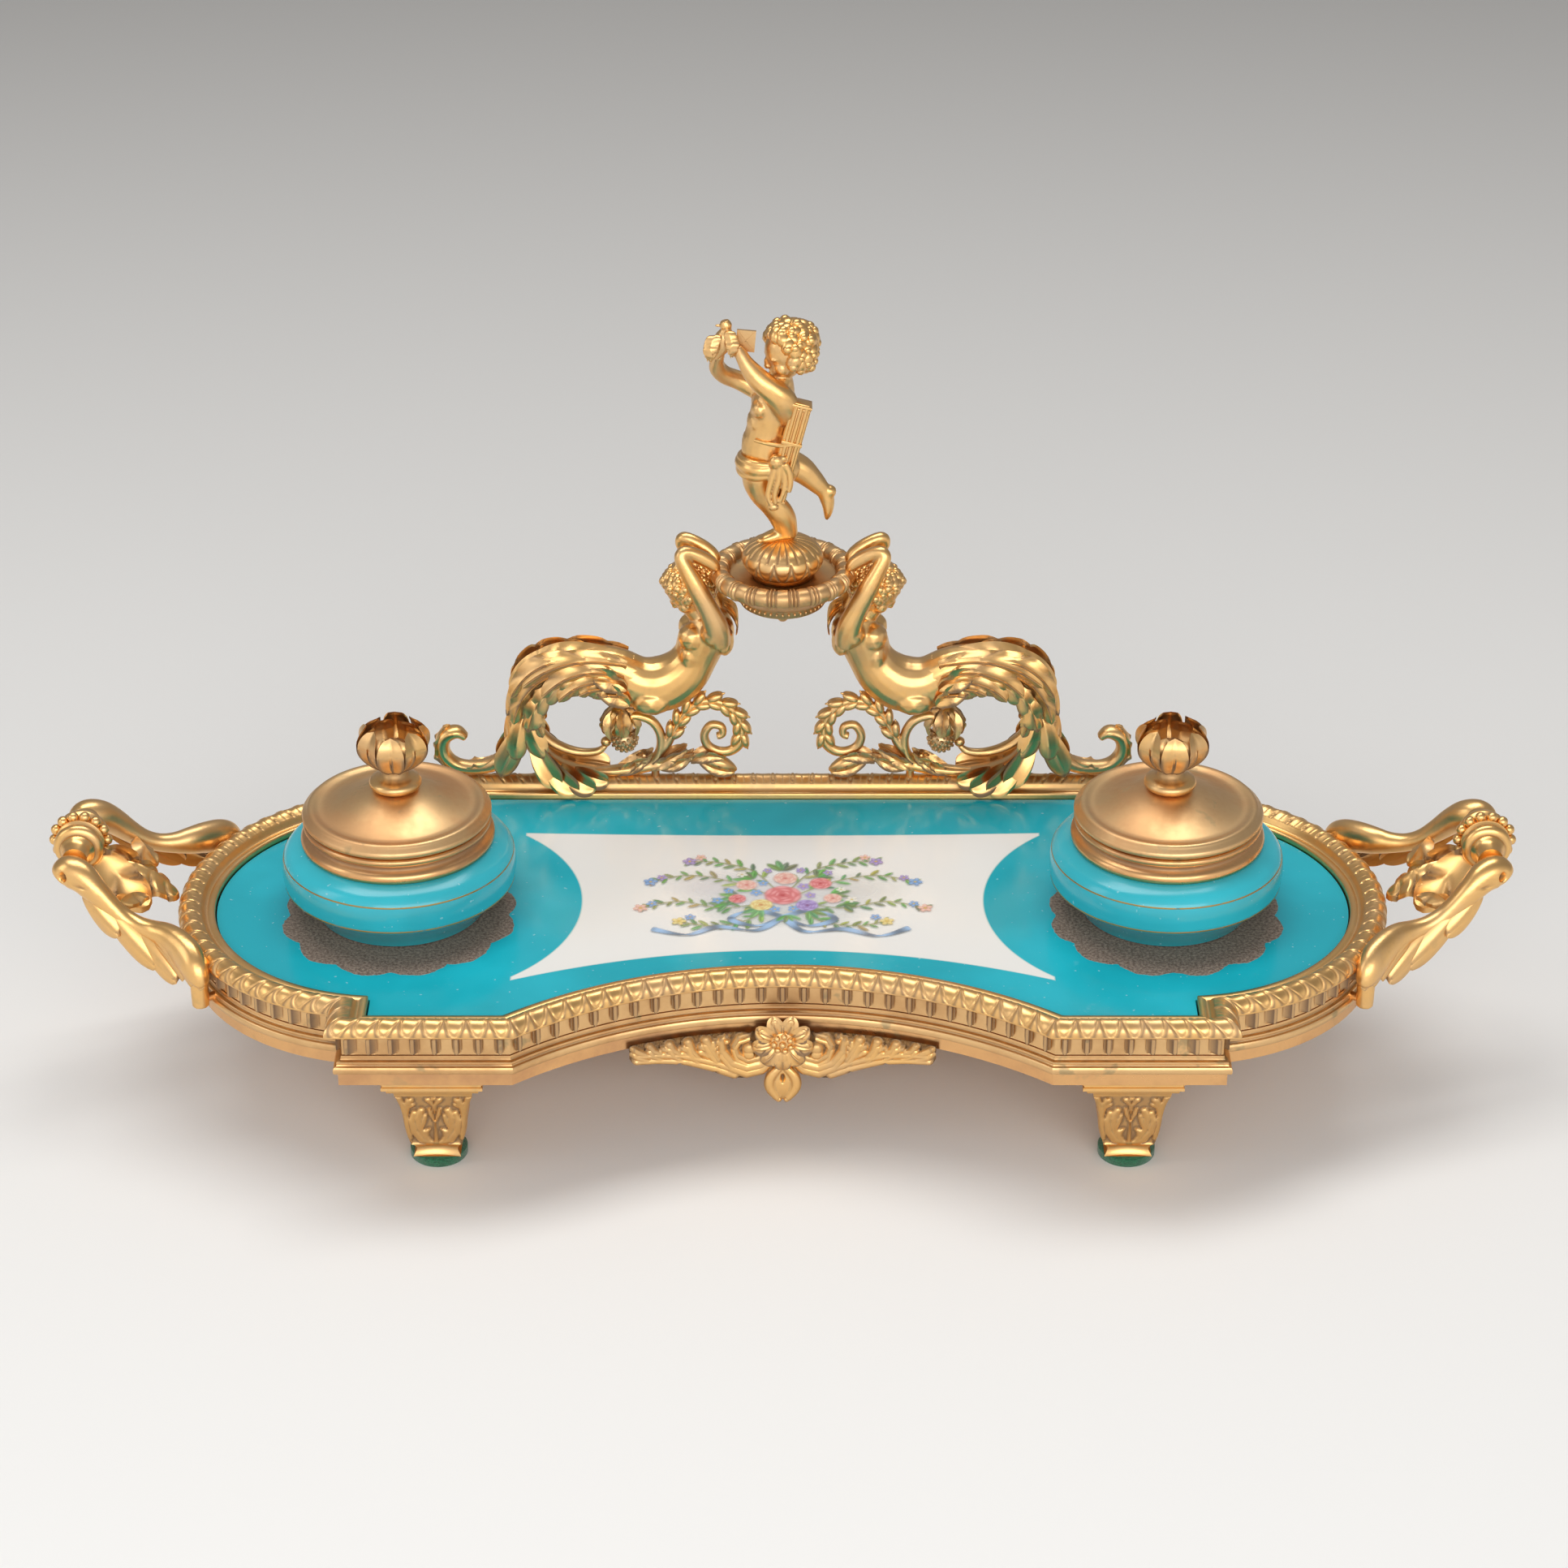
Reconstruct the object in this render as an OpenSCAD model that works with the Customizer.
// Desk inkstand: a gilt-bronze tray on four feet with a porcelain plaque, two lidded inkwells, two
// handles, and a back ornament of two half figures that hold a dish with a boy on a cushion.
// Millimetres. The floor is z = 0, the back is +Y, and the origin is under the middle of the stand.

/* [Tray] */
// Half the distance between the centres of the two round ends
lobe_x = 89; // [86:0.5:92]
// Radius of each round end, inside the moulding
lobe_r = 42.5; // [41.5:0.5:43.5]
// Centre line of the round ends, measured from the middle of the stand
lobe_y = -6.8; // [-8:0.1:-6]
// Half width of the straight waist between its corner notches
waist_x = 92.5; // [91.5:0.5:94]
// Front edge of the two front blocks, inside the moulding
front_y = -57.4; // [-58:0.1:-57]
// Back edge of the tray, inside the moulding
back_y = 43.2; // [43:0.1:44]
// Radius of the hollow front
bow_r = 100; // [96:1:110]
// Depth of the hollow front behind the blocks
bow_depth = 21.6; // [18:0.2:23]
// Height of the plaque's top above the floor
top_z = 42.3; // [42:0.1:44]
// Thickness of the porcelain plaque
plaque_t = 5; // [4:0.5:5]

/* [Feet] */
// Sideways place of each foot
foot_x = 78.5; // [76:0.5:80]
// Front feet, from the middle of the stand
foot_front_y = -46.8; // [-48:0.1:-46]
// Back feet, from the middle of the stand
foot_back_y = 32.6; // [31:0.1:34]
// Width of a foot's top step
foot_cap_w = 24.6; // [23:0.2:25]
// Diameter of a felt pad
felt_d = 13; // [11:0.5:14]

/* [Inkwells] */
// Sideways place of each inkwell
well_x = 88.5; // [87:0.5:90]
// Greatest radius of the porcelain pot
well_r = 26.9; // [25:0.1:28]
// Radius of the gilt collar and of the lid
lid_r = 21.7; // [21:0.1:22]
// Gap under a closed lid
lid_gap = 0.2; // [0.1:0.05:0.4]

/* [Handles] */
// Sideways place of the cross bar
bar_x = 161.6; // [159:0.2:163]
// Half the distance between the two ends of the cross bar
bar_half = 12.3; // [11.5:0.1:13]
// Height of the cross bar over the plaque
bar_z = 17; // [15:0.5:19]

/* [Back ornament] */
// The plane of the figures and of the dish
dish_y = 48.7; // [48:0.1:49]
// Radius of the dish, to the middle of its rim
dish_r = 15; // [14:0.5:15.5]
// Height of the dish's rim over the plaque
dish_z = 58.5; // [57:0.5:60]

/* [Hidden] */
$fn = 48;

gilt = [0.80, 0.61, 0.33];
gilt_dark = [0.66, 0.47, 0.26];
turquoise = [0.10, 0.63, 0.70];
white = [0.94, 0.94, 0.92];
felt_green = [0.05, 0.30, 0.16];
steel = [0.55, 0.55, 0.56];

bow_y = front_y + bow_depth - bow_r;   // centre of the hollow front
bow_end = acos((front_y - bow_y) / bow_r);   // half angle of the hollow front
lobe_dy = sqrt(lobe_r * lobe_r - pow(waist_x - lobe_x, 2));   // where a round end meets the waist
lobe_end = asin(lobe_dy / lobe_r);
band_r = 5;        // outside of the fluted band, from the inner edge of the moulding
base_r = 6;        // outside of the base plate
band_h = 6.2;      // height of the fluted band
lower_z = -10.1;   // underside of the lower moulding, from the plaque's top
base_z = -13.4;    // underside of the base plate
base_t = 3;        // thickness of the base plate
foot_z = -40.1;    // underside of a foot
fit = 0.1;         // clearance round a stud, screw or pin
seat = 0.06;       // gap between castings that lie against each other

// Half outlines of the swept courses: [distance out from the inner edge, height over the plaque]
leaf_profile = [[0, 0], [0, 1.2], [1.8, 1.2], [2.4, 0.8], [3.4, 2.4], [5.0, 3.6], [6.5, 3.5],
    [7.9, 2.4], [8.6, 0.6], [8.2, 0]];
lower_profile = [[-1, lower_z], [-1, -band_h], [5.3, -band_h], [5.3, -7.1], [6.4, -7.6],
    [6.8, -8.6], [7, -9.4], [7, lower_z]];

// ---------------------------------------------------------------- curves and swept solids

function unit(v) = v / norm(v);

function glide(a, b, c, d, t) =
    0.5 * (2 * b + (c - a) * t + (2 * a - 5 * b + 4 * c - d) * t * t
        + (3 * b - a - 3 * c + d) * t * t * t);

// A smooth run of rows through the given rows
function curve(rows, steps) = let (n = len(rows) - 1) concat(
    [for (i = [0 : n - 1]) for (j = [0 : steps - 1])
        glide(rows[max(i - 1, 0)], rows[i], rows[i + 1], rows[min(i + 2, n)], j / steps)],
    [rows[n]]);

// An oval of k points about c, square to the direction t: a across, b towards side
function oval(c, t, side, a, b, k) =
    let (u = unit(cross(side, t)), v = cross(t, u))
    [for (i = [0 : k - 1]) c + a * cos(i * 360 / k) * u + b * sin(i * 360 / k) * v];

function wall(n, k, closed) = [for (i = [0 : (closed ? n - 1 : n - 2)]) for (j = [0 : k - 1])
    let (a = i * k + j, b = ((i + 1) % n) * k + j, c = ((i + 1) % n) * k + (j + 1) % k,
        d = i * k + (j + 1) % k)
    each [[a, b, c], [a, c, d]]];

module skin(rings, closed = false) {
    n = len(rings);
    k = len(rings[0]);
    caps = closed ? [] : [[for (j = [0 : k - 1]) j], [for (j = [k - 1 : -1 : 0]) (n - 1) * k + j]];
    polyhedron(points = [for (r = rings) each r], faces = concat(wall(n, k, closed), caps));
}

// A limb, stem or leaf: rows are [x, y, z, half depth, half width along side]
module limb(rows, side = [0, 1, 0], steps = 3, k = 8) {
    p = curve(rows, steps);
    at = [for (r = p) [r[0], r[1], r[2]]];
    n = len(p);
    skin([for (i = [0 : n - 1])
        oval(at[i], unit(at[min(i + 1, n - 1)] - at[max(i - 1, 0)]), side, p[i][3], p[i][4], k)]);
}

// The same rows, g thicker all round, to cut what lies against a limb
function grown(rows, g) = [for (r = rows) r + g * [0, 0, 0, 1, 1]];

// A flat pointed leaf from p to q, w wide and t thick, lying square to side
module leaf(p, q, w, t = 1, side = [0, 1, 0]) {
    n = unit(cross(side, q - p));
    m = p + 0.5 * (q - p);
    hull() {
        translate(p) sphere(t * 0.8, $fn = 4);
        translate(q) sphere(t * 0.4, $fn = 4);
        for (s = [-1, 1]) translate(m + s * (w / 2 - t * 0.5) * n) sphere(t * 0.6, $fn = 4);
    }
}

// A round berry, bead or curl of hair
module bead(p, r, k = 6) {
    hull() translate(p) sphere(r, $fn = k);
}

// ---------------------------------------------------------------- the tray's outline

// The plan of the tray, o outside the inner edge of its moulding
module outline(o) {
    difference() {
        union() {
            for (s = [-1, 1]) translate([s * lobe_x, lobe_y]) circle(lobe_r + o, $fn = 96);
            translate([-waist_x - o, front_y - o])
                square([2 * (waist_x + o), back_y - front_y + 2 * o]);
        }
        translate([0, bow_y]) circle(bow_r - o, $fn = 180);
    }
}

module slab(o, z, h) {
    translate([0, 0, top_z + z]) linear_extrude(h) outline(o);
}

// Stations round the right half of the outline: [point on the inner edge, mitred way out]
function lean(a, b) = (a + b) / (1 + a * b);
bow_steps = 5;
lobe_steps = 18;
half_run = concat(
    [for (i = [1 : bow_steps - 1]) let (a = bow_end * i / bow_steps)
        [[bow_r * sin(a), bow_y + bow_r * cos(a)], [-sin(a), -cos(a)]]],
    [[[bow_r * sin(bow_end), front_y], lean([-sin(bow_end), -cos(bow_end)], [0, -1])],
     [[waist_x, front_y], [1, -1]],
     [[waist_x, lobe_y - lobe_dy], lean([1, 0], [(waist_x - lobe_x), -lobe_dy] / lobe_r)]],
    [for (i = [1 : lobe_steps - 1]) let (a = lobe_end * (2 * i / lobe_steps - 1))
        [[lobe_x, lobe_y] + lobe_r * [cos(a), sin(a)], [cos(a), sin(a)]]],
    [[[waist_x, lobe_y + lobe_dy], lean([1, 0], [(waist_x - lobe_x), lobe_dy] / lobe_r)],
     [[waist_x, back_y], [1, 1]]]);
run = concat([[[0, bow_y + bow_r], [0, -1]]], half_run,
    [for (i = [len(half_run) - 1 : -1 : 0]) let (s = half_run[i])
        [[-s[0][0], s[0][1]], [-s[1][0], s[1][1]]]]);

// A course of the moulding, swept round the outline with mitred corners
module course(profile) {
    skin([for (s = run) [for (p = profile)
        [s[0][0] + p[0] * s[1][0], s[0][1] + p[0] * s[1][1], top_z + p[1]]]], closed = true);
}

// Turned over the inkwells' line when t is -1
module facing(t) {
    if (t > 0) children();
    else translate([0, 2 * lobe_y, 0]) mirror([0, 1, 0]) children();
}

// ---------------------------------------------------------------- tray

module at_feet() {
    for (x = [-foot_x, foot_x], y = [foot_front_y, foot_back_y]) translate([x, y, 0]) children();
}

module at_wells() {
    for (x = [-well_x, well_x]) translate([x, lobe_y, top_z]) children();
}

screw_r = 1.5;
stud_r = 2;

module base_plate() {
    color(gilt_dark) difference() {
        union() {
            slab(base_r, base_z, base_t);
            slab(3, base_z + base_t - 0.5, lower_z - base_z - base_t + 0.5);
        }
        at_feet() translate([0, 0, top_z + base_z - 1]) cylinder(h = 6, r = screw_r + fit);
        at_apron_rivets() translate([0, 0, -1]) cylinder(h = rivet_reach + 1.2, r = rivet_r + fit);
    }
}

// The handle screws run straight out of the tray at these places
handle_screw_a = 34;
handle_screw_z = -8.2;
module at_handle_screws() {
    for (s = [-1, 1], t = [-1, 1])
        translate([s * lobe_x, lobe_y, top_z + handle_screw_z])
            rotate([0, 0, s > 0 ? t * handle_screw_a : 180 + t * handle_screw_a])
                rotate([0, 90, 0]) translate([0, 0, lobe_r]) children();
}

module lower_moulding() {
    color(gilt) difference() {
        course(lower_profile);
        at_handle_screws() translate([0, 0, -3]) cylinder(h = 12, r = 1 + fit);
    }
}

module fluted_band() {
    color(gilt) difference() {
        slab(band_r, -band_h, band_h);
        slab(0, -plaque_t, plaque_t + 1);
        slab(-3.5, -band_h - 1, band_h + 2);
    }
}

pin_x = [57.5, 31];
module at_pins() {
    for (s = [-1, 1], x = pin_x) translate([s * x, dish_y, top_z]) children();
}

module leaf_moulding() {
    color(gilt) difference() {
        course(leaf_profile);
        at_pins() translate([0, 0, 0.5]) cylinder(h = 6, r = 1 + fit);
    }
}

module porcelain_plaque() {
    color(turquoise) difference() {
        slab(-0.35, -plaque_t, plaque_t);
        at_wells() translate([0, 0, -plaque_t - 1]) cylinder(h = plaque_t + 2, r = stud_r + fit);
    }
}

// ---------------------------------------------------------------- feet

// Widths of the tapered body of a foot: [height over the plaque, half width]
foot_body = [[-36.6, 5.9], [-35.5, 5.7], [-33, 6.1], [-30, 6.9], [-27, 7.4], [-24.5, 7.9],
    [-22.7, 8.4], [-21.6, 8.9]];
foot_base = [[foot_z, 5.4], [-39.2, 4.7], [-37.8, 4.7], [-36.6, 5.4]];

module square_turned(rows) {
    skin([for (r = rows) let (w = r[1], c = r[1] * 0.82)
        [[w, -c, r[0]], [w, c, r[0]], [c, w, r[0]], [-c, w, r[0]],
         [-w, c, r[0]], [-w, -c, r[0]], [-c, -w, r[0]], [c, -w, r[0]]]]);
}

module step(w, z, h) {
    translate([-w / 2, -w / 2, z]) cube([w, w, h]);
}

// Acanthus on one face of a foot, raised from the tapered body
module foot_leaves() {
    for (s = [-1, 1]) {
        leaf([s * 1.2, -6.4, -34.6], [s * 5.2, -7.6, -27.4], 3.4, 1.8, [0, 1, 0]);
        leaf([s * 1.0, -7.2, -29.5], [s * 6.4, -8.6, -23.0], 3.2, 1.8, [0, 1, 0]);
    }
    leaf([0, -6.2, -35.2], [0, -8.4, -23.0], 3.6, 2.2, [0, 1, 0]);
}

module foot(x, y) {
    color(gilt) difference() {
        translate([x, y, top_z]) union() {
            step(foot_cap_w, base_z - 3.1, 3.1);
            step(foot_cap_w - 1.8, base_z - 6.1, 3.05);
            step(foot_cap_w - 3.6, base_z - 8.2, 2.15);
            square_turned(foot_body);
            square_turned(foot_base);
            rotate([0, 0, y > 0 ? 180 : 0]) foot_leaves();
        }
        translate([x, y, top_z + base_z - 14]) cylinder(h = 15, r = screw_r + fit);
    }
}

module felt(x, y) {
    color(felt_green) translate([x, y, 0]) cylinder(h = top_z + foot_z, r = felt_d / 2);
}

module foot_screws() {
    color(steel) at_feet() translate([0, 0, top_z + base_z]) {
        translate([0, 0, -13]) cylinder(h = 13 + base_t + 0.3, r = screw_r);
        translate([0, 0, lower_z - base_z]) difference() {
            cylinder(h = 2, r = 3);
            translate([-4, -0.4, 1.2]) cube([8, 0.8, 2]);
        }
    }
}

// ---------------------------------------------------------------- front apron

apron_t = 2.2;
apron_r = bow_r - base_r + 0.6;   // back of the apron, under the base plate's hollow edge
lug_t = 2.4;
rivet_r = 0.8;
rivet_reach = 2.4;
rosette_z = -14;
bud_z = -25.9;

// Lower edge of one wing of the apron, from its tip to the middle
wing = curve([[34.5, -13.4], [34.6, -15.6], [33, -17.4], [28, -17.9], [22, -19.4], [16, -22.3],
    [11, -24.3], [6, -24.1], [2.5, -21.6], [0.4, -20.5]], 3);

module apron_ring() {
    translate([0, bow_y, 0]) difference() {
        cylinder(h = 80, r = apron_r, $fn = 180);
        translate([0, 0, -1]) cylinder(h = 82, r = apron_r - apron_t, $fn = 180);
    }
}

// The apron seen from the front: pierced wings, and the bud that hangs in the middle
module apron_face() {
    translate([0, 0, top_z]) rotate([90, 0, 0]) linear_extrude(60) {
        difference() {
            polygon(concat(wing, [for (i = [len(wing) - 1 : -1 : 0]) [-wing[i][0], wing[i][1]]]));
            for (s = [-1, 1]) {
                translate([s * 9.6, -18.2]) circle(1.1);
                translate([s * 17, -17.2]) circle(0.9);
            }
        }
        translate([0, bud_z]) circle(4.2);
        translate([-2.5, bud_z]) square([5, 8]);
    }
}

module front_apron() {
    color(gilt) difference() {
        union() {
            intersection() {
                apron_ring();
                apron_face();
            }
            at_apron_rivets() translate([-3, -3, -lug_t]) cube([6, 5.4, lug_t]);
        }
        at_rosette() translate([0, 0, -10]) cylinder(h = 20, r = 1 + fit);
        at_apron_rivets() translate([0, 0, -5]) cylinder(h = 6, r = rivet_r + fit);
    }
}

module at_rosette() {
    translate([0, bow_y + apron_r - apron_t, top_z + rosette_z - 2.5]) rotate([90, 0, 0]) children();
}

// A lug behind each wing is riveted up into the base plate
module at_apron_rivets() {
    for (a = [-15, 15]) translate([0, bow_y, top_z + base_z]) rotate([0, 0, a])
        translate([0, apron_r + 2.3, 0]) children();
}

// The flower: nine petals about a ring of beads, on a rivet through the apron
module apron_rosette() {
    color(gilt) at_rosette() {
        translate([0, 2.5, 0.32]) {
            cylinder(h = 1.2, r = 4.2);
            for (i = [0 : 8]) rotate([0, 0, 40 * i + 90]) translate([5, 0, 0]) {
                cylinder(h = 1.3, r = 1.85);
                translate([0, 0, 0.5]) rotate([0, 12, 0]) cylinder(h = 1.1, r = 1.1);
            }
            for (i = [0 : 5]) rotate([0, 0, 60 * i]) translate([1.9, 0, 1.3]) sphere(0.75);
            translate([0, 0, 1.4]) sphere(0.9);
        }
        translate([0, 0, -2.3]) cylinder(h = 2.8, r = 1);
    }
}

module apron_rivets() {
    color(steel) at_apron_rivets() {
        translate([0, 0, -lug_t - 0.4]) cylinder(h = lug_t + 0.4 + rivet_reach, r = rivet_r);
        translate([0, 0, -lug_t - 0.6 - seat]) cylinder(h = 0.6, r = 1.5);
    }
}

// ---------------------------------------------------------------- handles

function beside(dx, dy, z, a, b) = [dx, lobe_y + dy, top_z + z, a, b];

// One arm of the right handle, behind the middle, from the ball on the bar to the rim
arm_rows = [
    beside(bar_x + 1.6, bar_half + 0.6, bar_z + 1.0, 1.6, 1.6),
    beside(bar_x + 0.2, bar_half + 0.9, bar_z + 0.6, 3.4, 3.3),
    beside(bar_x - 3.6, bar_half + 2.2, bar_z - 2.6, 3.5, 3.3),
    beside(153, 17.5, 8.6, 2.9, 3.0),
    beside(147, 20.6, 4.6, 2.5, 3.5),
    beside(141, 24.0, 3.2, 2.3, 4.2),
    beside(136, 27.6, 2.4, 2.2, 4.6),
    beside(132.5, 31.5, -0.6, 1.9, 4.2),
    beside(130.4, 34.5, -4.6, 1.3, 3.0),
    beside(129.6, 36.0, -7.6, 0.6, 1.2)];

module rim_clearance() {
    slab(8.6 + seat, -5, 12);
    slab(7 + seat, -11, 6.5);
}

module handle_arm(t) {
    color(gilt) difference() {
        facing(t) union() {
            limb(arm_rows, side = unit([0.5, 0.86, 0]), steps = 2, k = 8);
            // foot behind the leaf, which takes the screw
            translate([lobe_x, lobe_y, top_z]) rotate([0, 0, handle_screw_a])
                translate([lobe_r + 7.5, -2.2, -9.9]) cube([4.2, 4.4, 9]);
            leaf(arm_p(154, 18.4, 8), arm_p(147.6, 23.6, -2.4), 7.4, 3, [0.8, 0.6, 0]);
            leaf(arm_p(149, 21.4, 4.4), arm_p(141, 28.6, -5), 8.2, 3.2, [0.8, 0.6, 0]);
            leaf(arm_p(142, 26, 2.4), arm_p(133.5, 35, -8.2), 9, 3.2, [0.7, 0.7, 0]);
            leaf(arm_p(136, 29, 1), arm_p(128, 39, -5.5), 7.6, 2.8, [0.6, 0.8, 0]);
        }
        rim_clearance();
        handle_bar_solid(0.08);
        at_handle_screws() cylinder(h = 11.5, r = 1 + fit);
    }
}
function arm_p(x, y, z) = [x, lobe_y + y, top_z + z];

// The turned cross bar, along Y, with its beaded ring
bar_disc_r = 5.4;
bar_profile = [[0, -11], [1.9, -11], [1.9, -7], [3.3, -6.6], [3.6, -5.6], [3.3, -4.8], [2.8, -4.2],
    [4.4, -3.4], [5.2, -2.1], [bar_disc_r, -1.4], [bar_disc_r, 1.4], [5.2, 2.1], [4.4, 3.4],
    [2.8, 4.2], [3.3, 4.8], [3.6, 5.6], [3.3, 6.6], [1.9, 7], [1.9, 11], [0, 11]];
bead_count = 14;
bead_r = 1.35;

module handle_bar_solid(grow) {
    translate([bar_x, lobe_y, top_z + bar_z]) rotate([-90, 0, 0])
        rotate_extrude() polygon([for (p = bar_profile) [p[0] > 0 ? p[0] + grow : 0, p[1]]]);
}

module handle_bar() {
    color(gilt) {
        handle_bar_solid(0);
        translate([bar_x, lobe_y, top_z + bar_z]) rotate([-90, 0, 0])
            for (i = [0 : bead_count - 1]) rotate([0, 0, 360 / bead_count * i])
                translate([bar_disc_r + 0.6, 0, 0]) sphere(bead_r);
    }
}

// The broad leaf from the cross bar down to the rim
module handle_palmette() {
    color(gilt) difference() {
        union() {
            limb([beside(157.5, 0, 14.0, 1.0, 2.2), beside(153.5, 0, 9.8, 1.3, 4.0),
                beside(149.5, 0, 7.0, 1.4, 6.2), beside(145, 0, 5.0, 1.3, 6.0),
                beside(141, 0, 3.6, 1.0, 3.8), beside(139.2, 0, 2.8, 0.6, 1.6)], steps = 2, k = 8);
            for (s = [-1, 1]) {
                leaf(arm_p(154, s * 2.6, 10.6), arm_p(145.6, s * 8.8, 5), 6.4, 2, [0.4, 0, 1]);
                leaf(arm_p(148.6, s * 2, 6.6), arm_p(141.4, s * 6.6, 2.6), 6, 2, [0.3, 0, 1]);
            }
            leaf(arm_p(147, 0, 5.8), arm_p(138.6, 0, -2.5), 6.6, 2.6, [0.5, 0, 1]);
        }
        rim_clearance();
        translate([bar_x, lobe_y, top_z + bar_z]) rotate([-90, 0, 0]) {
            cylinder(h = 3, r = bar_disc_r + 0.6 + bead_r + seat, center = true, $fn = 24);
            cylinder(h = 9, r = bar_disc_r + seat, center = true, $fn = 24);
        }
    }
}

module handle_screws() {
    color(steel) at_handle_screws() {
        translate([0, 0, -1.3]) cylinder(h = 12.3, r = 1);
        translate([0, 0, -2.5]) cylinder(h = 1.3, r = 1.8);
    }
}

// ---------------------------------------------------------------- back ornament

// Rows in the plane of the ornament: x, height over the plaque, half depth, half width
function orn(x, z, a, b, y = 0) = [x, dish_y + y, top_z + z, a, b];
function spot(x, z, y = 0) = [x, dish_y + y, top_z + z];

// The back rail with a little room, for castings that sit on it
module rail_clearance() {
    translate([-waist_x, back_y, top_z]) rotate([90, 0, 90]) linear_extrude(2 * waist_x)
        polygon([for (p = leaf_profile) [p[0] * 1.01, p[1] + (p[1] > 0 ? seat : -9)]]);
}

module pin_holes() {
    at_pins() cylinder(h = 9 + fit, r = 1 + fit, $fn = 8);
}

// The leaning plane where a figure is joined to its tail, and a block on each side of it
hip_x = 38.6;
hip_lean = 14;
module beyond_hip(t) {
    translate([hip_x, dish_y, top_z]) rotate([0, hip_lean, 0])
        translate([t > 0 ? 0 : seat - 30, -20, 0]) cube([30, 40, 60]);
}

torso_rows = [orn(44, 33.2, 7.0, 5.6), orn(38, 30.4, 8.0, 6.6), orn(32.5, 29.2, 7.8, 6.8),
    orn(27, 31.6, 6.6, 6.2), orn(22.6, 35.8, 5.4, 5.4), orn(19.6, 40.4, 5.7, 6.0),
    orn(17.9, 44.6, 5.7, 6.8), orn(18.2, 47.6, 4.2, 5.4), orn(19.6, 49.4, 2.2, 2.6),
    orn(20.8, 51.0, 2.0, 2.2)];

module figure() {
    color(gilt) difference() {
        union() {
            difference() {
                limb(torso_rows, k = 8, steps = 2);
                beyond_hip(1);
            }
            // head, chin towards the tail
            limb([orn(20.4, 48.0, 1.6, 1.6), orn(22.6, 49.4, 3.2, 3.0), orn(24.2, 53.0, 4.1, 4.0),
                orn(24.6, 57.0, 4.0, 4.2), orn(23.6, 60.0, 1.6, 2.0)], steps = 1, k = 8);
            // hair
            for (h = [[27.2, 57.8, 0], [27.0, 53.8, 2.2], [27.0, 53.8, -2.2], [24.2, 60.8, 0],
                [24.4, 56.4, 3.8], [24.4, 56.4, -3.8]])
                bead(spot(h[0], h[1], h[2]), 2.6);
            // raised arms, bent over the head to the dish
            for (s = [-1, 1])
                limb([orn(15.4, 42.4, 1.8, 2.0, s * 5.0), orn(15.0, 46.0, 2.9, 2.6, s * 5.8),
                    orn(17.0, 51.4, 2.6, 2.3, s * 6.0), orn(20.0, 58.4, 2.3, 2.1, s * 5.4),
                    orn(22.0, 65.0, 2.0, 1.8, s * 4.4), orn(21.6, 68.2, 1.7, 1.6, s * 3.0),
                    orn(18.4, 63.6, 1.7, 1.6, s * 2.2), orn(16.6, 57.6, 0.9, 1.3, s * 2.0)],
                    k = 6, steps = 2);
            // small leaf that closes the figure's back under the dish
            limb([orn(13.4, 49.6, 0.8, 1.6), orn(11.6, 46.6, 1.6, 3.4), orn(10.6, 43.6, 1.0, 2.8),
                orn(10.8, 42.0, 0.4, 1.0)], steps = 1, k = 6);
            limb([orn(16.0, 46.0, 2.0, 3.4), orn(12.4, 46.8, 1.6, 3.0)], steps = 1, k = 6);
        }
        translate([0, dish_y, top_z]) rotate_extrude($fn = 24) {
            polygon([[0, 50], [8.9, 50], [10.6, 50.6], [10.6, 52.4], [11.8, 53.2], [13.6, 55.0],
                [15, 57.4], [0, 58]]);
            translate([dish_r, dish_z]) circle(2.55, $fn = 8);
        }
    }
}

tail_rows = [orn(34.5, 30.2, 7.0, 6.2), orn(38, 31.0, 7.2, 6.4), orn(43.5, 33.2, 6.6, 6.0),
    orn(49.5, 34.2, 5.9, 5.6), orn(55.5, 32.2, 5.3, 5.2), orn(60.2, 27.4, 4.7, 4.8),
    orn(62.4, 21.0, 4.0, 4.2), orn(62.4, 14.6, 3.4, 3.6), orn(60.6, 8.6, 2.8, 3.2),
    orn(57.4, 4.4, 2.2, 3.2), orn(53.0, 3.0, 1.6, 3.0), orn(48.6, 3.6, 0.9, 1.6)];
curl_rows = [orn(61.0, 19.0, 1.6, 2.2), orn(63.6, 13.4, 2.2, 2.6), orn(66.6, 7.8, 2.3, 2.6),
    orn(71.0, 4.6, 2.0, 2.4), orn(76.4, 4.8, 1.7, 2.2), orn(80.8, 7.0, 1.8, 2.2),
    orn(83.0, 11.2, 2.0, 2.4), orn(81.8, 15.2, 2.0, 2.4), orn(78.2, 15.4, 1.6, 2.2),
    orn(77.0, 13.4, 0.8, 1.4)];

// The lower stem of the tail, which the scroll lies against
module inner_stem(grow = 0) {
    limb(grown([orn(60.6, 17.0, 1.2, 1.8), orn(56.8, 12.4, 1.6, 2.0), orn(51.4, 8.8, 1.4, 1.8),
        orn(45.4, 7.0, 1.2, 1.5), orn(41.6, 8.2, 1.0, 1.3)], grow), k = 6, steps = 1);
}

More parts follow.
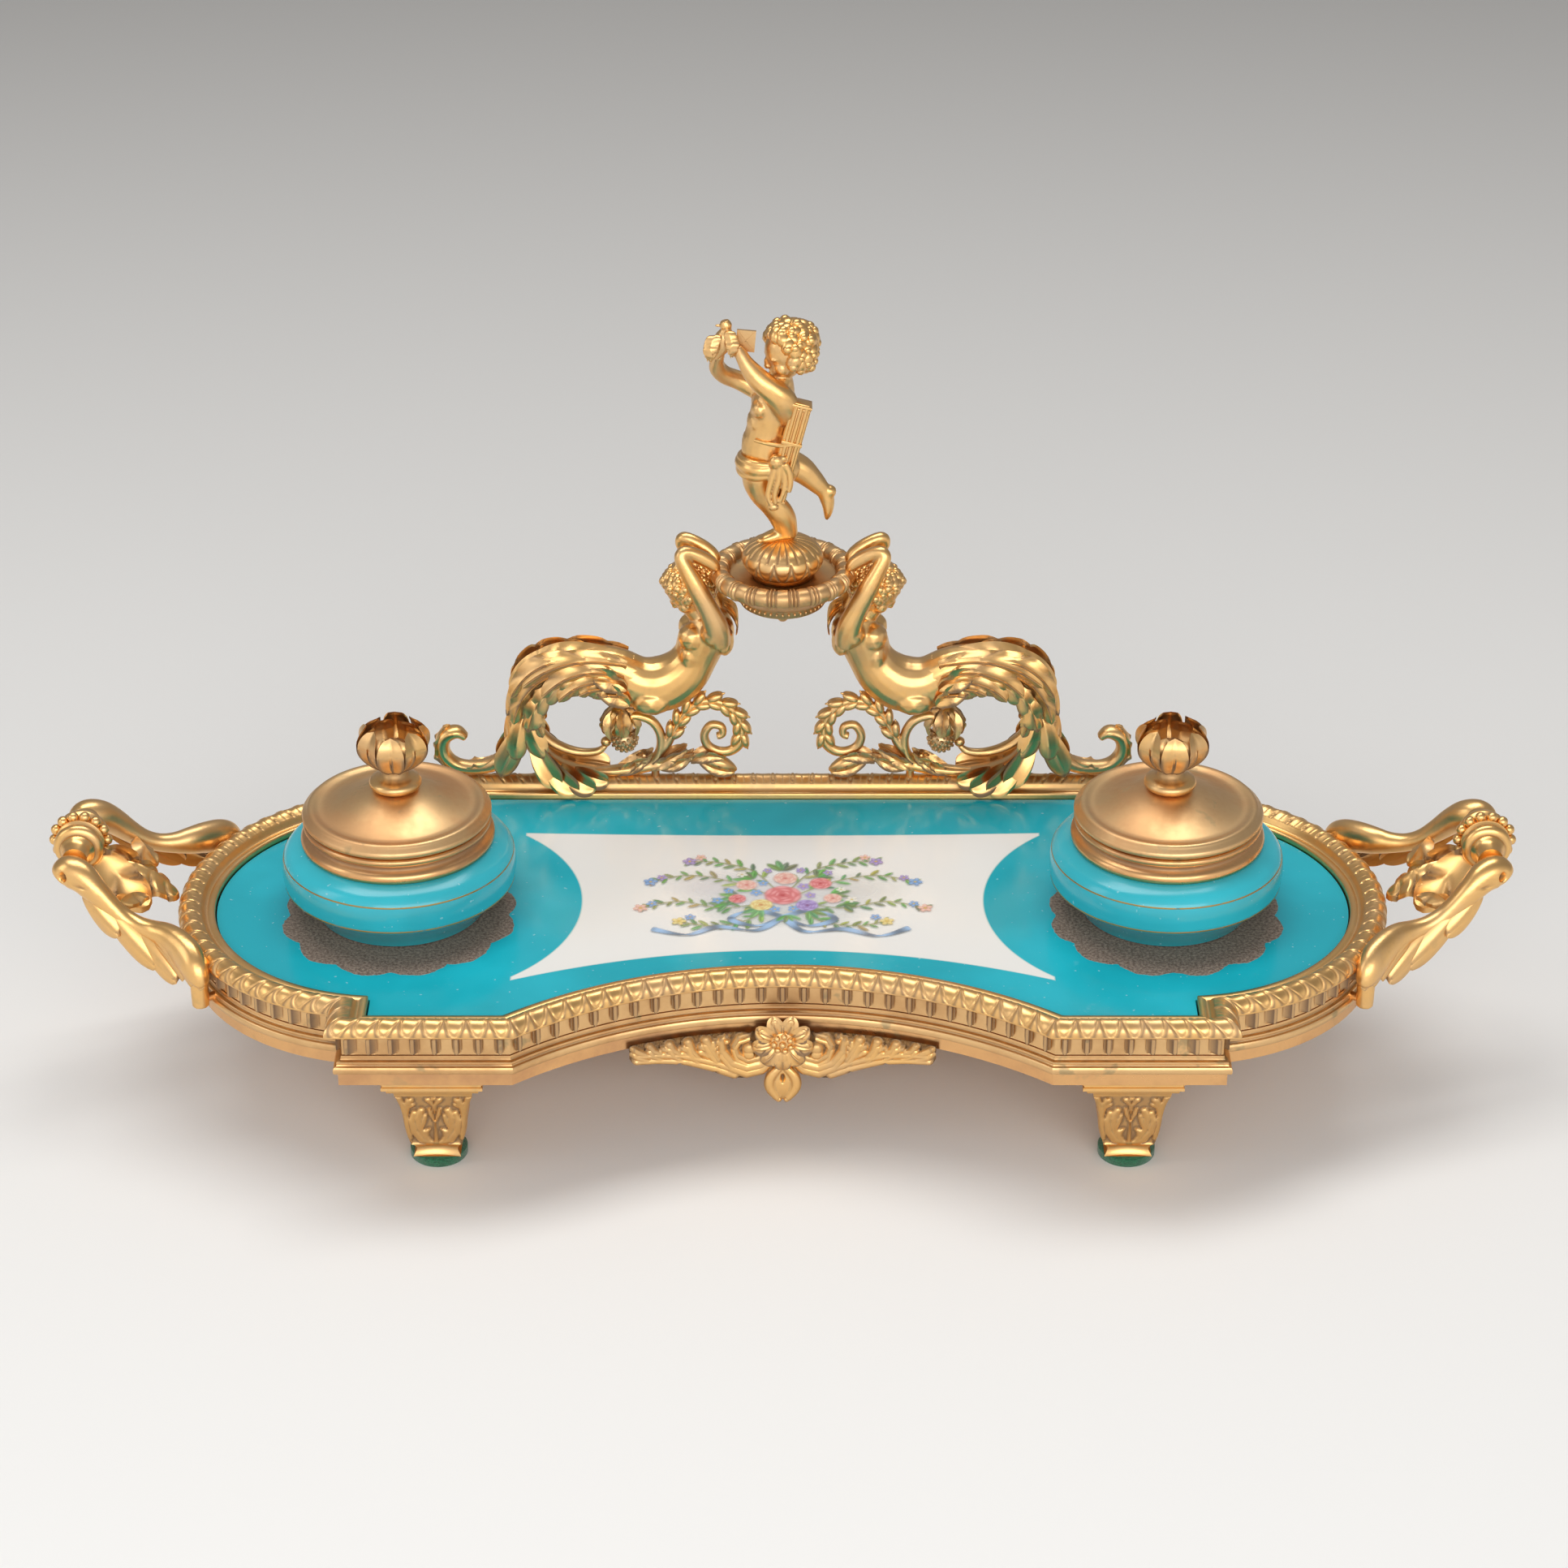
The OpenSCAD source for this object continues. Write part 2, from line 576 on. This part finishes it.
module tail() {
    color(gilt) difference() {
        union() {
            limb(tail_rows, k = 8, steps = 2);
            limb(curl_rows, k = 5, steps = 2);
            inner_stem();
            // acanthus down the outside of the arch and over the rail
            leaf(spot(47, 36.6), spot(60.6, 36.0), 5.4, 5.0, [0.3, 1, 0]);
            leaf(spot(54, 34.6), spot(66.4, 26.6), 5.6, 5.2);
            leaf(spot(59.6, 29.4), spot(67.2, 18.2), 5.4, 5.0);
            for (s = [-1, 1]) {
                leaf(spot(46.0, 32, s * 3.6), spot(56.2, 25.6, s * 5.2), 5.4, 2.6);
                leaf(spot(56.5, 29, s * 3.2), spot(61.6, 17.4, s * 4.6), 4.8, 2.6);
                leaf(spot(59.4, 11, s * 1.8), spot(50.6, 3.2, s * 5.2), 5.8, 2.8);
            }
            leaf(spot(63.4, 16), spot(66.6, 3.9), 4.6, 5.4);
            leaf(spot(66.5, 9.5), spot(72.6, 3.9), 4.0, 3.2);
        }
        beyond_hip(-1);
        rail_clearance();
        pin_holes();
    }
}

// The laurel spiral swells at every bud of its upper half
laurel_path = [[32.4, 6.6], [29.6, 9.6], [27.6, 13.0], [25.6, 16.6], [23.8, 19.8], [21.2, 22.8],
    [18.1, 24.0], [14.8, 23.4], [12.0, 21.4], [10.2, 18.4], [9.5, 15.2], [10.2, 11.6], [12.6, 9.4],
    [15.8, 8.9], [18.6, 10.8], [19.3, 14.2], [17.4, 17.2], [14.8, 16.6], [14.4, 14.4]];
laurel_rows = [for (i = [0 : len(laurel_path) - 1])
    let (bud = i > 2 && i < 11 && i % 2 == 1 ? 0.9 : 0)
    orn(laurel_path[i][0], laurel_path[i][1], 1.0 + bud, 1.2 + bud)];
bud_stem_rows = [orn(31.0, 6.4, 1.0, 1.2), orn(28.4, 9.4, 1.2, 1.4), orn(28.2, 14.6, 1.2, 1.4),
    orn(30.6, 18.9, 1.2, 1.4), orn(34.6, 20.8, 1.2, 1.4), orn(38.0, 20.2, 1.4, 1.6)];
rail_stem_rows = [orn(46.4, 4.6, 0.8, 1.0), orn(41.0, 4.9, 1.2, 1.4), orn(34.0, 5.4, 1.5, 1.6),
    orn(27.6, 6.4, 1.4, 1.5), orn(22.0, 7.2, 1.1, 1.3), orn(19.0, 7.0, 1.2, 1.6),
    orn(15.0, 5.8, 2.0, 2.2), orn(12.4, 4.9, 1.2, 1.4), orn(11.2, 4.6, 0.4, 0.5)];

module scroll() {
    color(gilt) difference() {
        union() {
            limb(laurel_rows, k = 5, steps = 2);
            limb(bud_stem_rows, k = 5, steps = 1);
            limb(rail_stem_rows, k = 6, steps = 1);
            // the hanging bud and its berry
            limb([orn(38.6, 22.1, 1.2, 1.4), orn(39.2, 20.4, 2.8, 3.0), orn(38.9, 16.6, 3.6, 3.6),
                orn(38.5, 13.6, 3.4, 3.4), orn(38.3, 12.6, 2.2, 2.2)], k = 8, steps = 1);
            bead(spot(38.2, 12.0), 2.4);
            // leaves along the rail stem
            leaf(spot(36, 5.4), spot(29.0, 9.6), 2.4, 2.6);
            leaf(spot(31, 5.8), spot(24.0, 9.4), 2.6, 2.6);
            leaf(spot(45, 5.2), spot(37.0, 7.6), 2.4, 3.0);
        }
        rail_clearance();
        pin_holes();
        inner_stem(seat);
        // the end of the tail's lower leaf
        translate([46.6, dish_y - 12, top_z - 2]) cube([12, 24, 22]);
    }
}

module ornament_pins() {
    color(steel) at_pins() translate([0, 0, 0.5]) cylinder(h = 8.5, r = 1);
}

// ---------------------------------------------------------------- dish and cushion

dish_profile = [[2.1, 50.2], [8.6, 50.2], [10.2, 50.8], [10.2, 52.6], [11.4, 53.4], [13.2, 55.2],
    [14.4, 57.4], [12.6, 58.2], [12, 57.6], [2.1, 57.6]];

module dish_solid(grow) {
    translate([0, dish_y, top_z]) rotate_extrude() {
        polygon([for (p = dish_profile)
            [p[0] + (p[0] > 3 ? grow : -grow), p[1] + (p[1] < 53 ? -grow : 0)]]);
        translate([dish_r, dish_z]) circle(2.3 + grow, $fn = 32);
    }
}

// The rim is bound with straps, between which it shows as short rounded lengths
strap_count = 16;
module dish() {
    color(gilt_dark) {
        dish_solid(0);
        translate([0, dish_y, top_z]) for (i = [0 : strap_count - 1])
            rotate([0, 0, (i + 0.4) * 360 / strap_count]) rotate_extrude(angle = 5)
                translate([dish_r, dish_z]) circle(2.42, $fn = 32);
    }
}

module dish_cushion() {
    color(gilt) translate([0, dish_y, top_z]) rotate_extrude() difference() {
        polygon(concat([[0, 57.6], [7.6, 57.6], [7.2, 58.6], [6.6, 59.4], [7, 60.4]],
            curve([[8.4, 61.0], [9.5, 62.6], [9.4, 64.6], [7.6, 66.3], [4, 67.2], [0, 67.4]], 3)));
        translate([0, 50]) square([stud_r + fit, 15]);
    }
}

module dish_bolt() {
    color(gilt_dark) translate([0, dish_y, top_z]) {
        translate([0, 0, 48]) cylinder(h = 16.8, r = stud_r);
        translate([0, 0, 47.9]) cylinder(h = 2.28, r = 3.1, $fn = 6);
        translate([0, 0, 46.9]) sphere(1.6);
    }
}

// ---------------------------------------------------------------- boy with dove and letter

boy_y = dish_y;
function boy(x, z, a, b, y = 0) = [x, boy_y + y, top_z + z, a, b];
function boy_p(x, z, y = 0) = [x, boy_y + y, top_z + z];

trunk_rows = [boy(-3.2, 83.0, 2.8, 3.5), boy(-4.2, 86.6, 5.2, 5.4), boy(-5.0, 91.2, 5.3, 5.2),
    boy(-4.4, 96.8, 4.6, 5.0), boy(-3.2, 102.0, 4.6, 5.4), boy(-1.2, 105.6, 3.2, 3.8),
    boy(0.2, 108.0, 2.6, 2.8), boy(0.8, 110.4, 2.8, 3.0)];
near_arm_rows = [boy(1.0, 101.0, 2.8, 2.4, -3.0), boy(-0.2, 103.6, 2.9, 2.6, -4.6),
    boy(-3.6, 106.8, 2.3, 2.1, -4.8), boy(-7.4, 111.2, 1.8, 1.7, -3.4),
    boy(-9.0, 113.6, 1.4, 1.6, -2.6), boy(-9.8, 115.6, 0.8, 1.0, -2.2)];
far_arm_rows = [boy(-3.8, 102.6, 2.4, 2.2, 3.8), boy(-8.2, 104.4, 2.3, 2.0, 5.2),
    boy(-12.6, 106.8, 2.0, 1.8, 4.6), boy(-15.0, 109.6, 1.9, 1.8, 3.0),
    boy(-14.6, 112.6, 1.5, 1.5, 1.0), boy(-13.6, 114.4, 0.8, 1.0, 0.2)];
standing_leg_rows = [boy(-5.4, 87.0, 3.7, 3.2, -1.2), boy(-6.0, 82.6, 3.8, 3.4, -1.2),
    boy(-3.6, 77.6, 3.2, 2.9, -1.0), boy(-0.6, 73.6, 2.9, 2.6, -0.6),
    boy(0.9, 69.8, 2.0, 2.0, -0.2), boy(1.4, 67.6, 1.9, 1.9, 0), boy(0.8, 66.2, 1.2, 1.6, 0)];
raised_leg_rows = [boy(-2.4, 85.4, 3.4, 3.2, 2.2), boy(1.6, 84.8, 3.5, 3.2, 2.4),
    boy(5.2, 82.8, 3.0, 2.8, 2.4), boy(8.4, 79.6, 2.1, 2.1, 2.2),
    boy(9.9, 77.6, 1.8, 1.7, 2.2), boy(10.6, 75.0, 1.4, 1.7, 2.2),
    boy(10.6, 72.0, 0.7, 1.2, 2.2)];

module putto_solid() {
    limb(trunk_rows, k = 8, steps = 2);
    // head and curls
    limb([boy(-1.0, 108.6, 2.8, 2.8), boy(-0.2, 111.6, 5.0, 5.0), boy(1.2, 115.4, 5.9, 5.6),
        boy(2.6, 119.6, 5.0, 5.0), boy(3.0, 122.0, 2.2, 2.4)], k = 8, steps = 1);
    for (c = [[7.0, 115.4, 0], [6.2, 119.4, 0], [2.4, 122.0, 0], [-2.0, 120.4, 0],
        [5.8, 111.8, 0], [2.8, 116.6, -4.6], [2.8, 116.6, 4.6]])
        bead(boy_p(c[0], c[1], c[2]), 2.1);
    // both arms reach up to the dove
    limb(near_arm_rows, k = 6, steps = 2);
    limb(far_arm_rows, k = 6, steps = 1);
    limb(standing_leg_rows, k = 7, steps = 2);
    limb([boy(3.0, 67.6, 1.0, 1.4, 0), boy(0.8, 67.6, 1.6, 1.8, 0), boy(-3.0, 67.0, 1.2, 1.9, 0),
        boy(-5.6, 66.7, 0.7, 1.4, 0)], k = 6, steps = 1);
    limb(raised_leg_rows, k = 6, steps = 2);
}

module putto() {
    color(gilt) difference() {
        putto_solid();
        translate([0, boy_y, top_z]) union() {
            translate([0, 0, 55]) cylinder(h = 11.9, r = 12, $fn = 24);
            rotate_extrude($fn = 16) polygon([[0, 60], [8.6, 61], [9.9, 63], [9.7, 65],
                [7.9, 66.5], [4.4, 67.3], [0, 67.45]]);
        }
        quiver_case(0.08);
    }
}

// The trunk and thighs, grown a little, as the cloth and the quiver lie against them
module putto_core() {
    limb(grown(trunk_rows, 0.1), k = 8, steps = 2);
    limb(grown(standing_leg_rows, 0.1), k = 7, steps = 2);
    limb(grown(raised_leg_rows, 0.1), k = 6, steps = 2);
}

module putto_sash() {
    color(gilt) difference() {
        union() {
            limb([boy(-3.8, 85.6, 5.7, 5.9), boy(-4.3, 88.0, 6.3, 6.5), boy(-4.6, 90.4, 5.6, 5.9)],
                k = 12, steps = 1);
            bead(boy_p(-1.4, 90.4, -6.4), 1.9);
            for (i = [0 : 2])
                leaf(boy_p(-2.2 + 1.2 * i, 90, -6.6), boy_p(-3.0 + 1.8 * i, 79.6 - i % 2, -7.0),
                    3.2, 1.6);
        }
        putto_core();
        quiver_case(0.08);
    }
}

// Square quiver slung at the near hip, its top towards the back
quiver_len = 26;
quiver_w = 4.2;
module at_quiver() {
    translate(boy_p(2.2, 90.8, -4.4)) rotate([0, 11.5, 0]) children();
}

module quiver_case(grow) {
    at_quiver() {
        translate([-quiver_w / 2 - grow, -2 - grow, -quiver_len / 2 - grow])
            cube([quiver_w + 2 * grow, 4 + 2 * grow, quiver_len + 2 * grow]);
        translate([-quiver_w / 2 - 0.3 - grow, -2.3 - grow, 11.4 - grow])
            cube([quiver_w + 0.6 + 2 * grow, 4.3 + 2 * grow, 1.2 + 2 * grow]);
    }
}

module quiver() {
    color(gilt) difference() {
        quiver_case(0);
        at_quiver() for (x = [-1.9, -0.4, 1.1]) translate([x, -3, 0.5 - quiver_len / 2])
            cube([0.8, 1.3, 23]);
    }
}

module dove() {
    color(gilt) difference() {
        union() {
            limb([boy(-15.2, 113.6, 0.5, 1.2), boy(-14.4, 115.0, 1.4, 1.6),
                boy(-13.4, 117.4, 1.9, 1.8), boy(-12.9, 119.8, 1.3, 1.2),
                boy(-12.8, 121.6, 1.5, 1.4), boy(-13.0, 123.2, 0.7, 0.7)], k = 7, steps = 1);
            limb([boy(-13.4, 119.4, 0.5, 1.2, 1.4), boy(-16.2, 119.2, 0.8, 2.2, 3.2),
                boy(-17.6, 116.4, 0.7, 2.0, 4.0), boy(-17.0, 113.4, 0.3, 0.7, 4.0)], k = 5, steps = 2);
            limb([boy(-12.4, 119.6, 0.5, 1.2, -1.4), boy(-11.4, 118.6, 0.8, 2.2, -3.0),
                boy(-11.0, 116.0, 0.7, 1.8, -3.6), boy(-11.6, 114.2, 0.3, 0.7, -3.6)], k = 5,
                steps = 2);
        }
        minus_boy();
    }
}

module letter() {
    color(gilt) difference() {
        translate(boy_p(-11.2, 115.4, -1.2)) rotate([0, 8, 0]) cube([5.4, 0.8, 5.2]);
        minus_boy();
        dove_block();
    }
}

// The hands, grown a little, as the dove and the letter lie against them
module minus_boy() {
    limb(grown(near_arm_rows, 0.1), k = 6, steps = 2);
    limb(grown(far_arm_rows, 0.1), k = 6, steps = 1);
}

module dove_block() {
    translate(boy_p(-13.4, 110, -5)) cube([3.1, 10, 16]);
}

// ---------------------------------------------------------------- inkwells

// Outside of the porcelain pot: [radius, height over the plaque]
pot_profile = [[19.5, 0.05], [19.9, 0.7], [21.2, 2.4], [23.8, 5.2], [well_r - 0.4, 8.0],
    [well_r - 0.1, 9.6], [well_r, 11.3], [well_r - 0.1, 13.0], [well_r - 0.5, 14.6],
    [25.1, 16.0], [23.2, 17.0], [lid_r, 17.6]];
pot_wall = 3;
collar_z = 17.6;
collar_top = 23.5;
lid_z = collar_top + lid_gap;

module well_body() {
    color(turquoise) rotate_extrude($fn = 96) polygon(concat(
        pot_profile, [[18.6, 17.6], [18.6, 16.6]],
        [for (i = [9 : -1 : 2]) [pot_profile[i][0] - pot_wall, pot_profile[i][1] + 1.2]],
        [[17, pot_wall], [stud_r + fit, pot_wall], [stud_r + fit, 0.05]]));
}

module well_collar() {
    color(gilt) rotate_extrude($fn = 96) polygon([[18.4, 16.8], [18.4, collar_z + 0.03],
        [lid_r, collar_z + 0.03], [lid_r + 0.4, 18.2], [lid_r + 0.5, 19], [lid_r + 0.2, 19.8],
        [lid_r - 0.8, 20.3], [lid_r - 1.3, 21], [lid_r - 1, 21.7], [lid_r - 0.3, 22.1],
        [lid_r - 0.1, 22.8], [lid_r - 0.4, collar_top], [18.0, collar_top], [18.0, 21.3],
        [16.9, 21.3], [16.9, 20.4], [17.6, 19.6], [17.6, 16.8]]);
}

module well_liner() {
    color(white) rotate_extrude($fn = 96) polygon([[stud_r + fit, 3.05], [15, 3.05], [16, 4],
        [16.3, 6], [16.6, 21.33], [17.8, 21.33], [17.8, 22.4], [15.2, 22.4], [14.6, 21.4], [14.2, 7],
        [13, 5.4], [stud_r + fit, 5.05]]);
}

module well_studs() {
    color(steel) at_wells() {
        translate([0, 0, -plaque_t - 2.9]) cylinder(h = plaque_t + 8.3, r = stud_r);
        translate([0, 0, 5.15]) cylinder(h = 1.1, r = 4);
    }
}

module well_nuts() {
    color(steel) at_wells() translate([0, 0, -plaque_t - 2.6]) difference() {
        cylinder(h = 2.55, r = 4.4, $fn = 6);
        translate([0, 0, -1]) cylinder(h = 5, r = stud_r + 0.02);
    }
}

// ---------------------------------------------------------------- lids

finial_z = 31;

module lid() {
    color(gilt) rotate_extrude($fn = 96) polygon([
        [lid_r - 0.6, lid_z], [lid_r - 0.1, lid_z + 0.4], [lid_r + 0.1, lid_z + 1.1],
        [lid_r - 0.2, lid_z + 1.8], [lid_r - 0.9, lid_z + 2.2], [lid_r - 1.1, lid_z + 2.7],
        [lid_r - 2, lid_z + 3], [lid_r - 3.2, lid_z + 2.8], [lid_r - 4.2, lid_z + 2.4],
        [15, lid_z + 3.2], [12, lid_z + 4.8], [9, lid_z + 6.2], [6, lid_z + 7],
        [3.6, lid_z + 7.3], [1.6, lid_z + 7.3], [1.6, lid_z + 5.9],
        [6, lid_z + 5.5], [9, lid_z + 4.7], [12, lid_z + 3.3], [14.9, lid_z + 1.8],
        [15.1, 22.7], [16.6, 22.7], [16.8, lid_z]]);
}

// A turned ring and neck under a cup of eight petals
petals = 8;
module lid_finial() {
    color(gilt) translate([0, 0, finial_z]) difference() {
        union() {
            rotate_extrude($fn = 64) polygon([[0, 0], [4.4, 0], [5.8, 0.6], [6.1, 1.4], [5.7, 2.2],
                [4.2, 2.8], [2.9, 3.6], [2.6, 4.6], [3.2, 5.2], [4.8, 6.0], [6.4, 7.6],
                [7.4, 10], [7.6, 12.4], [7.1, 15], [6.0, 16.9], [5.4, 16.6], [6.0, 14.6],
                [6.4, 12.2], [6.2, 10.4], [5.2, 8.6], [3.6, 7.6], [0, 7.2]]);
            translate([0, 0, -4.2]) cylinder(h = 5, r = 1.5);
        }
        for (i = [0 : petals - 1]) rotate([0, 0, 360 / petals * (i + 0.5)])
            translate([4, 0, 18.2]) rotate([0, 90, 0]) cylinder(h = 5, r = 2.6, $fn = 4);
    }
}

module lid_nut() {
    color(steel) translate([0, 0, lid_z + 3.75]) difference() {
        cylinder(h = 1.95, r = 3.2, $fn = 6);
        translate([0, 0, -1]) cylinder(h = 5, r = 1.52);
    }
}

module well_at(s) {
    translate([s * well_x, lobe_y, top_z]) children();
}

// ---------------------------------------------------------------- every sub-part by name

base_plate();
lower_moulding();
fluted_band();
leaf_moulding();
porcelain_plaque();
foot(-foot_x, foot_front_y);  // front_left_foot
foot(foot_x, foot_front_y);  // front_right_foot
foot(-foot_x, foot_back_y);  // back_left_foot
foot(foot_x, foot_back_y);  // back_right_foot
felt(-foot_x, foot_front_y);  // front_left_felt
felt(foot_x, foot_front_y);  // front_right_felt
felt(-foot_x, foot_back_y);  // back_left_felt
felt(foot_x, foot_back_y);  // back_right_felt
foot_screws();
front_apron();
apron_rosette();
apron_rivets();
mirror([1, 0, 0]) handle_arm(-1);  // left_handle_front_arm
mirror([1, 0, 0]) handle_arm(1);  // left_handle_back_arm
mirror([1, 0, 0]) handle_bar();  // left_handle_bar
mirror([1, 0, 0]) handle_palmette();  // left_handle_palmette
handle_arm(-1);  // right_handle_front_arm
handle_arm(1);  // right_handle_back_arm
handle_bar();  // right_handle_bar
handle_palmette();  // right_handle_palmette
handle_screws();
mirror([1, 0, 0]) figure();  // left_figure
figure();  // right_figure
mirror([1, 0, 0]) tail();  // left_tail
tail();  // right_tail
mirror([1, 0, 0]) scroll();  // left_scroll
scroll();  // right_scroll
ornament_pins();
dish();
dish_cushion();
dish_bolt();
putto();
putto_sash();
quiver();
dove();
letter();
well_at(-1) well_body();  // left_well_body
well_at(1) well_body();  // right_well_body
well_at(-1) well_collar();  // left_well_collar
well_at(1) well_collar();  // right_well_collar
well_at(-1) well_liner();  // left_well_liner
well_at(1) well_liner();  // right_well_liner
well_studs();
well_nuts();
well_at(-1) lid();  // left_lid
well_at(-1) lid_finial();  // left_lid_finial
well_at(-1) lid_nut();  // left_lid_nut
well_at(1) lid();  // right_lid
well_at(1) lid_finial();  // right_lid_finial
well_at(1) lid_nut();  // right_lid_nut
